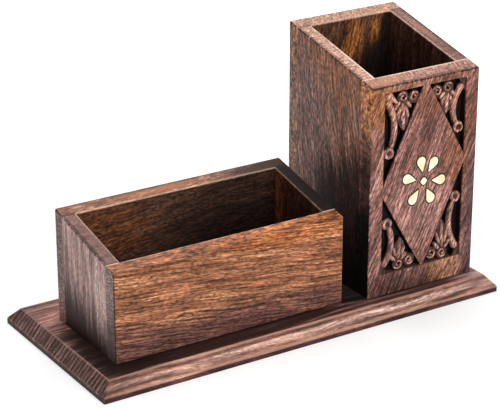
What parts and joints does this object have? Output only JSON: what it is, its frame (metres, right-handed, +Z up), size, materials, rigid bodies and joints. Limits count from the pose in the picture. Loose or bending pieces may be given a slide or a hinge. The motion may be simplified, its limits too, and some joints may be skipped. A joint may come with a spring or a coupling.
{
  "type": "desk organizer with tray and pen cup",
  "caption": "Wooden desk organizer: a bevelled base board with a sloped open tray and a tall square pen cup with a carved, brass-inlaid front.",
  "frame": {"origin": "centre of the base board's flat underside", "axes": "+X along the base towards the pen cup's end, +Y from the carved front to the back, +Z up"},
  "size_m": [0.203, 0.09, 0.1193],
  "materials": {
    "base_wood": "oiled sheesham, sanded, satin",
    "tray_wood": "oiled sheesham, sanded, satin",
    "cup_wood": "oiled sheesham, sanded, satin",
    "carved_wood": "hand-carved oiled sheesham, dark in the cut ground",
    "inlay_brass": "filed flush and polished",
    "pin_bamboo": "split bamboo, unfinished",
    "screw_steel": "zinc plated"
  },
  "bodies": {
    "root": {"base_board": "base_wood", "tray_front_board": "tray_wood", "tray_back_board": "tray_wood", "tray_left_end": "tray_wood", "tray_right_end": "tray_wood", "cup_front_panel": "carved_wood", "cup_back_board": "cup_wood", "cup_left_side": "cup_wood", "cup_right_side": "cup_wood", "inlay_centre": "inlay_brass", "inlay_petal_right": "inlay_brass", "inlay_petal_upper_right": "inlay_brass", "inlay_petal_upper_left": "inlay_brass", "inlay_petal_left": "inlay_brass", "inlay_petal_lower_left": "inlay_brass", "inlay_petal_lower_right": "inlay_brass", "tray_pins": "pin_bamboo", "cup_pins": "pin_bamboo", "tray_screws": "screw_steel", "cup_screws": "screw_steel"}
  },
  "joints": []
}
